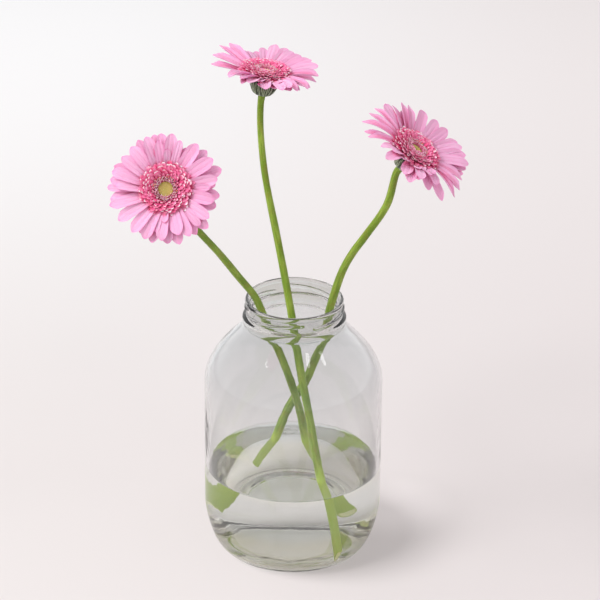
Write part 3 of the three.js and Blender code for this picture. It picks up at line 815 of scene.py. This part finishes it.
def make_water():
    side = [(r + WATER_BITE if r > 1 else 0, z - WATER_BITE) for r, z in inner_floor()]
    wall = BODY_RADIUS - WALL + WATER_BITE
    edge = WATER_LEVEL + MENISCUS
    side += [(wall, z) for z in np.linspace(HEEL_HEIGHT + 6, edge - 1, 6)]
    climb = [(wall - 0.05, edge), (wall - 0.5, edge)]
    climb += [(wall - 0.5 - d, WATER_LEVEL + MENISCUS * exp(-d / MENISCUS_REACH))
              for d in (0.15, 0.35, 0.6, 1, 1.6, 2.6, 4, 7)]
    surface = [(r, WATER_LEVEL) for r in (42, 34, 25, 16, 8, 0)]
    profile = side + climb + surface
    skin = lathe_skin(profile, *lathe(profile, WATER_SIDES))
    water = skin.build("jar_water", "water", water_material(), sharp=60)
    water.visible_diffuse = False


# Stems

def spline(points, count):
    """Centripetal Catmull-Rom curve through the points, at even steps of its length."""
    points = [np.array(p, float) for p in points]
    points = [2 * points[0] - points[1], *points, 2 * points[-1] - points[-2]]
    dense = []
    for i in range(1, len(points) - 2):
        p = points[i - 1:i + 3]
        knots = [0.0]
        for a, b in zip(p, p[1:]):
            knots.append(knots[-1] + np.linalg.norm(b - a) ** 0.5)
        for t in np.linspace(knots[1], knots[2], 24, endpoint=i == len(points) - 3):
            layer = list(p)
            for depth in (1, 2):
                layer = [((knots[j + depth] - t) * layer[j] + (t - knots[j]) * layer[j + 1])
                         / (knots[j + depth] - knots[j]) for j in range(len(layer) - 1)]
            a, b = layer
            dense.append(((knots[2] - t) * a + (t - knots[1]) * b) / (knots[2] - knots[1]))
    dense = np.array(dense)
    length = np.concatenate([[0], np.cumsum(np.linalg.norm(np.diff(dense, axis=0), axis=1))])
    even = np.linspace(0, length[-1], count)
    return np.stack([np.interp(even, length, dense[:, k]) for k in range(3)], -1)


def frames_along(path):
    """Tangents with a steady pair of cross directions."""
    tangent = np.gradient(path, axis=0)
    tangent /= np.linalg.norm(tangent, axis=1)[:, None]
    first = unit(np.cross(tangent[0], (0.3, 1, 0.1)))
    sideways = []
    for t in tangent:
        first = unit(first - first.dot(t) * t)
        sideways.append(first)
    sideways = np.array(sideways)
    return tangent, sideways, np.cross(tangent, sideways)


def stem_path(bloom, count):
    axis = unit(bloom["axis"])
    top = np.array(bloom["top"], float)
    return spline([*bloom["stem"], top - axis * LAST_STRAIGHT, top + axis * 0.4], count)


def stem_radius(bloom, t):
    return np.interp(t, [0, 0.5, 1], bloom["radii"])


def make_stem(bloom, material):
    path = stem_path(bloom, STEM_ROWS)
    tangent, first, second = frames_along(path)
    t = np.linspace(0, 1, STEM_ROWS)[:, None]
    angle = turns(STEM_SIDES)[None, :]
    phase = bloom["seed"]
    ribs = (0.018 * np.cos(10 * angle + 2 * np.sin(5 * t + phase))
            + 0.012 * np.sin(3 * angle + 9 * t + phase))
    lumps = 0.02 * np.sin(23 * t + phase) + 0.014 * np.sin(51 * t + 2 * phase)
    collar = 0.16 * smooth(t, 0.975, 1.0)
    radius = stem_radius(bloom, t) * (1 + ribs + lumps + collar)
    out = first[:, None, :] * np.cos(angle)[..., None] + second[:, None, :] * np.sin(angle)[..., None]
    points = path[:, None, :] + out * radius[..., None]
    *way, slope = bloom["cut"]
    slant = (out[0] * radius[0][:, None])[:, :2] @ way * slope
    points[0] += slant[:, None] * tangent[0]
    # the cut face: two rings inside the first, slightly hollow
    inner = [path[0] + (points[0] - path[0]) * share + tangent[0] * rise
             for share, rise in ((0.35, 0.5), (0.8, 0.15))]
    points = np.concatenate([np.array(inner), points])
    shape = points.shape[:2]
    along = np.broadcast_to(np.concatenate([[0, 0], t.ravel()])[:, None], shape)
    around = np.broadcast_to(np.abs(np.sin(angle / 2 + 0.3)), shape)
    face = np.zeros(shape)
    face[:2] = 1
    skin = Skin(bloom, in_jar=True)
    skin.add(points, tube_faces(*shape), along=along, around=around, cut=face)
    skin.build("scape", "stem", material, sharp=55)


def needle(skin, root, tip, width):
    """Three-sided hair from root to tip."""
    way = unit(tip - root)
    across = unit(np.cross(way, (0.31, 0.52, 0.79)))
    other = np.cross(way, across)
    ring = [root + width * (across * cos(a) + other * sin(a)) for a in turns(3)]
    skin.add(np.array([*ring, tip]), [(0, 2, 1), (0, 1, 3), (1, 2, 3), (2, 0, 3)])


def make_down(bloom, material):
    """Short pale hairs on the part of the stem that stands in air."""
    draw = draws(bloom["seed"] + 900)
    path = stem_path(bloom, HAIR_ROWS)
    tangent, first, second = frames_along(path)
    skin = Skin(bloom, in_jar=True)
    for _ in range(HAIR_COUNT):
        k = int(HAIR_FIRST + (next(draw) ** 0.7) * (HAIR_LAST - HAIR_FIRST))
        angle = 2 * pi * next(draw)
        out = first[k] * cos(angle) + second[k] * sin(angle)
        root = path[k] + out * (stem_radius(bloom, k / (HAIR_ROWS - 1)) * 0.97)
        reach = 0.5 + 0.5 * next(draw)
        lean = tangent[k] * (next(draw) - 0.2) * 0.8
        if path[k][2] > WATER_LEVEL + 4:
            needle(skin, root, root + (out + lean) * reach, HAIR_WIDTH)
    skin.build("stem_down", "stem", material, replaces=False)


# Blooms

def petal_outline(t):
    """Share of the full width along a petal: a claw, a long blade and shoulders."""
    return np.interp(t, [0, 0.12, 0.28, 0.45, 0.65, 0.85, 1], [0.28, 0.5, 0.8, 0.93, 1, 0.97, 0.8])


def add_petal(skin, bearing, reach, tip_height, width, whorl, fold, point, roll, draw):
    level, slope = WHORLS[whorl]
    length = reach - RAY_ROOT
    curl = (tip_height - level - slope * length) / length ** 2
    s = np.sin(np.linspace(-pi / 2, pi / 2, PETAL_COLUMNS))[None, :]
    v = np.linspace(0, 1, PETAL_ROWS)[:, None]
    blunt = width / 2 / length * (0.9 + 0.45 * next(draw))
    notch = 0.012 * next(draw) ** 2
    point = max(point, 0.22 * next(draw))
    lobes = notch * sum(np.exp(-((s - spot) / 0.1) ** 2) for spot in (GROOVE_PLACE, -GROOVE_PLACE))
    rounded = blunt * (1 - np.sqrt(np.clip(1 - np.abs(s) ** 2.2, 0, 1)))
    pointed = 1.8 * blunt * np.abs(s) ** 1.25
    end = 1 - (rounded * (1 - point) + pointed * point) - lobes * (1 - point)
    t = v * end
    run = length * t
    lift = level + slope * run + curl * run ** 2
    pitch = np.arctan(slope + 2 * curl * run)
    half = width / 2 * petal_outline(t)
    bend = (0.28 + 0.5 * (next(draw) - 0.5) + fold) * smooth(t, -0.1, 0.35) + 0.02
    side = half * np.sin(s * bend) / bend
    rise = half * (1 - np.cos(s * bend)) / bend
    grooves = sum(np.exp(-((s - spot) / 0.12) ** 2) for spot in (GROOVE_PLACE, -GROOVE_PLACE))
    rise = rise - GROOVE_DEPTH * grooves * smooth(t, 0.02, 0.2) * (1 - smooth(t, 0.9, 1.0))
    phase = 6.28 * next(draw)
    wave = 0.12 + 0.3 * next(draw)
    rise = rise + wave * np.abs(s) ** 3 * np.sin(7 * t + phase + 1.5 * s) * smooth(t, 0.2, 0.6)
    flick = 2.4 * (next(draw) - 0.55)
    rise = rise + flick * np.clip((t - 0.72) / 0.28, 0, 1) ** 2
    roll = roll + 0.16 * (next(draw) - 0.5) + 0.3 * (next(draw) - 0.5) * t
    drift = 0.05 * (next(draw) - 0.5) * run ** 2 / length
    across = side * np.cos(roll) - rise * np.sin(roll) + drift
    up = side * np.sin(roll) + rise * np.cos(roll)
    thick = PETAL_HALF_THICKNESS * (1 - 0.55 * s ** 2) * (1 - 0.4 * smooth(t, 0.8, 1.0))
    out_way, side_way = radial(bearing)
    u = up + SIDES * thick
    radius = RAY_ROOT + run - u * np.sin(pitch)
    z = lift + u * np.cos(pitch)
    points = radius[..., None] * out_way + across[..., None] * side_way + z[..., None] * UP
    tone = next(draw) if whorl != "short" else 1.0
    # painted shade in the fold's bottom and along the grooves, stronger the more the petal is folded
    crease = np.exp(-(s / 0.16) ** 2) + 0.7 * np.exp(-((np.abs(s) - GROOVE_PLACE) / 0.09) ** 2)
    crease = crease * np.clip(bend - 0.35, 0, 1) * (1 - smooth(t, 0.75, 1.0))
    skin.blade(points, along=t, across=s, tone=tone, crease=crease, under=UNDER)


def petal_skin(bloom):
    breadths = draws(bloom["seed"])
    shapes = draws(bloom["seed"] + 100)
    skin = Skin(bloom)
    for whorl in ("low", "high", "short"):
        for entry in bloom[whorl]:
            bearing, reach, tip_height = entry[:3]
            width = entry[3] if len(entry) > 3 else RAY_WIDTH
            breadth = width * (0.96 + 0.08 * next(breadths))
            fold, point = next(((by, sharp) for low, high, by, sharp in bloom["folded"]
                                if low <= bearing <= high), (0.0, 0.0))
            roll = next((by for low, high, by in bloom["rolled"] if low <= bearing <= high), RAY_ROLL)
            add_petal(skin, radians(bearing), reach, tip_height, breadth * RAY_SPREAD, whorl,
                      fold, point, radians(roll), shapes)
    return skin


def add_tongue(skin, bearing, root, reach, top, width, draw):
    """A strap that rises from the core, leans out and curls at its lobed tip."""
    v = np.linspace(0, 1, TONGUE_STEPS)[:, None]
    s = np.linspace(-1, 1, TONGUE_COLUMNS)[None, :]
    cleft = 0.05 * (1 - np.clip(np.abs(s) / 0.3, 0, 1)) + 0.16 * np.abs(s) ** 2.5
    t = v * (1 - cleft)
    start = np.array([root, CORE_BOTTOM])
    knee = np.array([root + 0.45 * (reach - root), top + 0.2])
    finish = np.array([reach, top])
    q = t[..., None]
    path = (1 - q) ** 2 * start + 2 * (q * (1 - q)) * knee + q ** 2 * finish
    way = 2 * (1 - q) * (knee - start) + 2 * q * (finish - knee)
    way = way / np.linalg.norm(way, axis=-1, keepdims=True)
    normal = np.stack([-way[..., 1], way[..., 0]], -1)
    half = width / 2 * np.interp(t, [0, 0.4, 0.75, 0.92, 1], [0.45, 0.8, 1, 0.8, 0.5])
    flick = (1.5 * next(draw) - 0.3) * np.clip((t - 0.65) / 0.35, 0, 1) ** 2
    rise = 0.45 * half * s ** 2 + flick
    lean = 1.3 * (next(draw) - 0.5)
    out_way, side_way = radial(bearing)
    spot = path + normal * (rise + SIDES * TONGUE_HALF_THICKNESS)[..., None]
    across = s * half + lean * t ** 2
    points = spot[..., :1] * out_way + across[..., None] * side_way + spot[..., 1:] * UP
    pale = 1.0 if next(draw) < 0.36 else 0.3 * next(draw)
    skin.blade(points, along=t, tone=next(draw), pale=pale, under=UNDER)


def add_thread(skin, bearing, radius, base, length, bow, width, draw):
    """A thin curled lobe of a floret's inner lip."""
    out_way, side_way = radial(bearing)
    turn = 2 * pi * next(draw)
    away = out_way * cos(turn) + side_way * sin(turn)
    rings = []
    for i in range(THREAD_STEPS + 1):
        t = i / THREAD_STEPS
        centre = out_way * radius + UP * (base + length * sin(1.9 * t)) + away * bow * t ** 2
        rings.append((centre, width * (1 - 0.75 * t)))
    skin.rod(rings, bearing, 3, 0.7 + 0.3 * np.linspace(0, 1, THREAD_STEPS + 1),
            tone=next(draw), pale=0.9, under=0.8)


def tongue_skin(bloom):
    draw = draws(bloom["seed"] + 700)
    skin = Skin(bloom)
    # the core that the florets stand on
    core = [(0.2, CORE_BOTTOM), (8.6, CORE_BOTTOM), (8.9, 14.4), (8.2, 15.3), (5.4, 15.5), (0.2, 15.4)]
    skin.turned(core, 48, along=0.35, tone=0.4, pale=0.0, under=0.0)
    for i in range(TONGUE_COUNT):
        area = (i + 0.5) / TONGUE_COUNT
        reach = sqrt(TONGUE_NEAREST ** 2 + (TONGUE_FARTHEST ** 2 - TONGUE_NEAREST ** 2) * area)
        share = (reach - TONGUE_NEAREST) / (TONGUE_FARTHEST - TONGUE_NEAREST)
        bearing = i * GOLDEN_ANGLE + 0.1 * (next(draw) - 0.5)
        near = max(0.0, -sin(bearing))
        root, top, width = (float(np.interp(share, TONGUE_SHARES, row))
                            for row in (TONGUE_ROOTS, TONGUE_TOPS, TONGUE_WIDTHS))
        far = reach * (1 - NEAR_SHORTER * near) * (1.02 - 0.08 * next(draw))
        high = top - NEAR_LOWER * near + 0.9 * (next(draw) - 0.5)
        add_tongue(skin, bearing, root, far, high, width * (0.8 + 0.35 * next(draw)), draw)
        if next(draw) < 0.6 - 0.35 * share:
            add_thread(skin, bearing + 0.05, far - 1.8, high - 2.2, 2.3, 1.3, 0.22, draw)
    for i in range(SHORT_COUNT):
        add_thread(skin, i * GOLDEN_ANGLE, 4.8 + 3.0 * i / SHORT_COUNT, 15.8 + 1.6 * next(draw),
                   2.5, 0.9, 0.38, draw)
    # a low fringe over the roots of the rays
    for i in range(FRINGE_COUNT):
        bearing = 2 * pi * (i + 0.6 * next(draw)) / FRINGE_COUNT
        add_tongue(skin, bearing, 9.6, 17.4 + 1.6 * next(draw), 15.4 + 1.4 * next(draw),
                   2.2 + 0.8 * next(draw), draw)
    # the florets on the near side: some lean in over the eye, and some out over the rays' roots
    for i in range(bloom["hooded"]):
        turn = 2 * (i + 0.5) / bloom["hooded"] - 1
        bearing = radians(-90 + 105 * turn + 6 * (next(draw) - 0.5))
        high = 19.5 - 1.3 * turn ** 2 + 0.8 * (next(draw) - 0.5)
        add_tongue(skin, bearing, 5.3, 4.0 + 0.7 * next(draw), high, 1.1 + 0.4 * next(draw), draw)
        for far, high in ((17.2, 16.6), (18.8, 15.2)):
            bearing = radians(-90 + 85 * turn + 12 * (next(draw) - 0.5))
            add_tongue(skin, bearing, 9.7, far + next(draw), high + 0.6 * next(draw), 2.8, draw)
    return skin


def make_anthers(bloom, material):
    """Brown anther tubes round the eye, some with pollen at their tip."""
    draw = draws(bloom["seed"] + 300)
    skin = Skin(bloom)
    for i in range(ANTHER_COUNT):
        # more of them on the far side, where the florets stand open
        bearing = 2 * pi * (i + 0.6 * next(draw)) / ANTHER_COUNT
        bearing += 0.35 * cos(bearing)
        radius = 5.5 + 2.2 * next(draw)
        high = 17.6 + 1.7 * next(draw)
        out_way = radial(bearing)[0]
        rings = [(out_way * (radius + 0.5 * t) + UP * (ANTHER_FOOT + (high - ANTHER_FOOT) * t), size)
                 for t, size in ANTHER_LEVELS]
        glow = 1.0 if next(draw) < 0.5 else 0.7
        skin.rod(rings, bearing, ANTHER_SIDES, [t * glow for t, _ in ANTHER_LEVELS])
    skin.build("anthers", "eye", material, replaces=False)


def make_eye(bloom, material):
    """Closed florets set in a spiral on a low dome with a dimple."""
    skin = Skin(bloom)
    dome = at_level(EYE_BOTTOM, (0.3, 0), (EYE_RADIUS - 0.5, 0), (EYE_RADIUS - 0.3, 0.4), (4.0, 0.9),
                    (2.6, 1.3), (0.3, 1.3))
    skin.turned(dome, 40, along=0.0, out=0.5)
    for i in range(BUD_COUNT):
        share = sqrt((i + 0.5) / BUD_COUNT)
        turn = i * GOLDEN_ANGLE
        radius = (EYE_RADIUS - 0.42) * share
        foot = EYE_BOTTOM + 0.5 + 0.85 * cos(share * 1.35) - 0.35 * exp(-(share / 0.22) ** 2)
        size = 0.17 + 0.13 * share
        tall = 0.4 + 0.2 * share
        lean = 0.25 * share
        out_way = radial(turn)[0]
        rings = [(out_way * (radius + lean * t) + UP * (foot + tall * t), size * width)
                 for t, width in BUD_LEVELS]
        skin.rod(rings, turn, BUD_SIDES, [t for t, _ in BUD_LEVELS], out=share)
    skin.build("disc_buds", "eye", material, sharp=70)


def cup_radius(z):
    return np.interp(z, [0, 0.7, 2, 4, 6, 7.6, 10, 11.5], [2.5, 5.1, 6.6, 7.7, 8.2, 8.4, 8.3, 8.5])


def make_bracts(bloom, material):
    draw = draws(bloom["seed"] + 400)
    skin = Skin(bloom)
    cup = [(float(cup_radius(z)) - 0.35, z) for z in (0.7, 1.5, 2.5, 4, 6, 8, 10)]
    cup = [(1.6, 0.1), (2.6, 0.15), *cup, (7.9, 10.8), (7.0, 12.6), (1.0, 13.4)]
    skin.turned(cup, 48, along=0.2, across=0.9)
    for row, (count, foot, tip, width, stand) in enumerate(BRACT_ROWS):
        for i in range(count):
            bearing = 2 * pi * (i + 0.33 * row + 0.2 * next(draw)) / count
            v = np.linspace(0, 1, BRACT_STEPS)[:, None]
            s = np.linspace(-1, 1, BRACT_COLUMNS)[None, :]
            z = foot + (tip + 0.8 * (next(draw) - 0.5) - foot) * v
            half = width / 2 * np.interp(v, [0, 0.25, 0.6, 1], [0.6, 1, 0.72, 0.06])
            keel = 0.35 * (1 - np.abs(s)) * (1 - 0.6 * v)
            radius = cup_radius(z) + 0.12 * row + stand * v ** 3
            swing = bearing + s * half / radius
            reach = radius + np.where(SIDES > 0, keel, -BRACT_THICKNESS)
            points = np.stack(np.broadcast_arrays(reach * np.cos(swing), reach * np.sin(swing), z), -1)
            skin.blade(points, along=v, across=s)
    skin.build("bracts", "involucre", material)


# Ways in which a crevice is felt for: straight out and six round it
FEELERS = [(0, 0, 1)] + [(0.75 * cos(a), 0.75 * sin(a), 0.66) for a in turns(6)]
CREVICE_REACH = 4.5


def feel_crevices(skins, reach):
    """Give each point of the skins the share of short rays from it that meet another blade, for painted
    shade in the crevices.
    """
    points = np.concatenate([p for skin in skins for p in skin.points])
    faces = []
    offset = 0
    for skin in skins:
        faces.extend([tuple(i + offset for i in face) for face in skin.faces])
        offset += skin.count
    tree = BVHTree.FromPolygons(points.tolist(), faces)
    normals = np.zeros_like(points)
    for face in faces:
        a, b, c = points[face[0]], points[face[1]], points[face[-1]]
        normals[list(face)] += np.cross(b - a, c - a)
    normals /= np.linalg.norm(normals, axis=1)[:, None] + 1e-9
    crevice_shade = np.zeros(len(points))
    for i, (point, normal) in enumerate(zip(points, normals)):
        side = unit(np.cross(normal, (0.36, 0.48, 0.8)))
        other = np.cross(normal, side)
        start = Vector((point + 0.15 * normal).tolist())
        hits = 0
        for x, y, z in FEELERS:
            way = Vector((x * side + y * other + z * normal).tolist())
            hits += tree.ray_cast(start, way, reach)[0] is not None
        crevice_shade[i] = hits / len(FEELERS)
    offset = 0
    for skin in skins:
        skin.values["crevice_shade"] = [crevice_shade[offset:offset + skin.count]]
        offset += skin.count


# Stage

def make_floor():
    mesh = bpy.data.meshes.new("floor")
    corners = [(x * FLOOR_SIZE, y * FLOOR_SIZE, 0) for x, y in ((-1, -1), (1, -1), (1, 1), (-1, 1))]
    mesh.from_pydata(corners, [], [(0, 1, 2, 3)])
    floor = put_in_scene("floor", mesh)
    s = Shader("pale_floor")
    spread = s.node("SeparateXYZ", {0: s.place()}).outputs
    # painted light and shade: the floor is lighter far away and to the left, darker near the camera
    across = s.step(spread["X"], *FLOOR_ACROSS)
    near = s.mix(across, FLOOR_NEAR_LEFT, FLOOR_NEAR_RIGHT)
    far = s.mix(across, FLOOR_FAR_LEFT, FLOOR_FAR_RIGHT)
    plain = s.mix(s.step(spread["Y"], *FLOOR_AWAY), near, far)
    # painted pools of light under, behind and beside the jar
    for x, y, far_out, close, colour in FLOOR_PATCHES:
        way = s.node("VectorMath", {0: s.place(), 1: (x, y, 0)}, operation="DISTANCE").outputs["Value"]
        plain = s.mix(s.step(way, far_out, close), plain, colour)
    s.colour(plain)
    s.set(roughness=0.9, specular=0.1)
    mesh.materials.append(s.material)


def area_light(name, spot, target, size, power, mirrored=True):
    lamp = bpy.data.lights.new(name, "AREA")
    lamp.shape = "DISK"
    lamp.size = size
    lamp.energy = power
    holder = put_in_scene(name, lamp)
    holder.visible_glossy = mirrored
    holder.visible_transmission = False
    back = unit(np.subtract(spot, target))
    right = unit(np.cross((0, 0, 1), back))
    stand(holder, right, np.cross(back, right), back, spot)


def make_light():
    world = bpy.data.worlds.new("studio")
    bpy.context.scene.world = world
    world.use_nodes = True
    tree = world.node_tree
    coordinates = add_node(tree, "TexCoord", {}).outputs["Generated"]
    height = add_node(tree, "SeparateXYZ", {0: coordinates}).outputs["Z"]
    ramp = add_node(tree, "ValToRGB", {0: height})
    for element, level in zip(ramp.color_ramp.elements, (1.0, SKY_TOP)):
        element.color = (level, level, level, 1)
    sky = tree.nodes["Background"].inputs
    put(sky["Color"], ramp.outputs[0])
    put(sky["Strength"], SKY_STRENGTH)
    area_light("key", KEY_SPOT, KEY_TARGET, KEY_SIZE, KEY_POWER, mirrored=False)
    for i, (x, y, size) in enumerate(SPARKS):
        area_light(f"spark_{i}", (x, y, SPARK_HEIGHT), SPARK_TARGET, size, SPARK_POWER * size ** 2)
    view = bpy.context.scene.view_settings
    view.view_transform = "Standard"
    view.look = "None"
    # the way through glass, water and glass again is long
    cycles = bpy.context.scene.cycles
    cycles.max_bounces = cycles.transmission_bounces = GLASS_BOUNCES


def make_camera():
    c, s = cos(CAMERA_ELEVATION), sin(CAMERA_ELEVATION)
    back = np.array([0, -c, s])
    right = np.array([1.0, 0, 0])
    up = np.array([0, s, c])
    cr, sr = cos(CAMERA_ROLL), sin(CAMERA_ROLL)
    right, up = right * cr - up * sr, right * sr + up * cr
    place = np.array(CAMERA_TARGET) + back * CAMERA_DISTANCE
    turn = turn_matrix()
    lens = bpy.data.cameras.new("camera")
    lens.sensor_fit = "HORIZONTAL"
    lens.sensor_width = SENSOR_MM
    lens.lens = FOCAL_PIXELS / FRAME_PIXELS * SENSOR_MM
    lens.clip_end = 100
    camera = put_in_scene("camera", lens)
    stand(camera, turn @ right, turn @ up, turn @ back, turn @ place * MM)
    bpy.context.scene.camera = camera


make_camera()
make_floor()
make_light()
make_jar()
make_water()

petal_look = petal_material()
tongue_look = tongue_material()
anther_look = anther_material()
eye_look = eye_material()
bract_look = bract_material()
stem_look = stem_material()
down_look = down_material()
for bloom in BLOOMS:
    make_stem(bloom, stem_look)
    make_down(bloom, down_look)
    petals, tongues = petal_skin(bloom), tongue_skin(bloom)
    # the share of rays that meet a blade darkens petals and tongues as painted shade
    feel_crevices([petals, tongues], CREVICE_REACH)
    petals.build("petals", "rays", petal_look, sharp=60)
    tongues.build("tongues", "inner_florets", tongue_look, sharp=60)
    make_anthers(bloom, anther_look)
    make_eye(bloom, eye_look)
    make_bracts(bloom, bract_look)
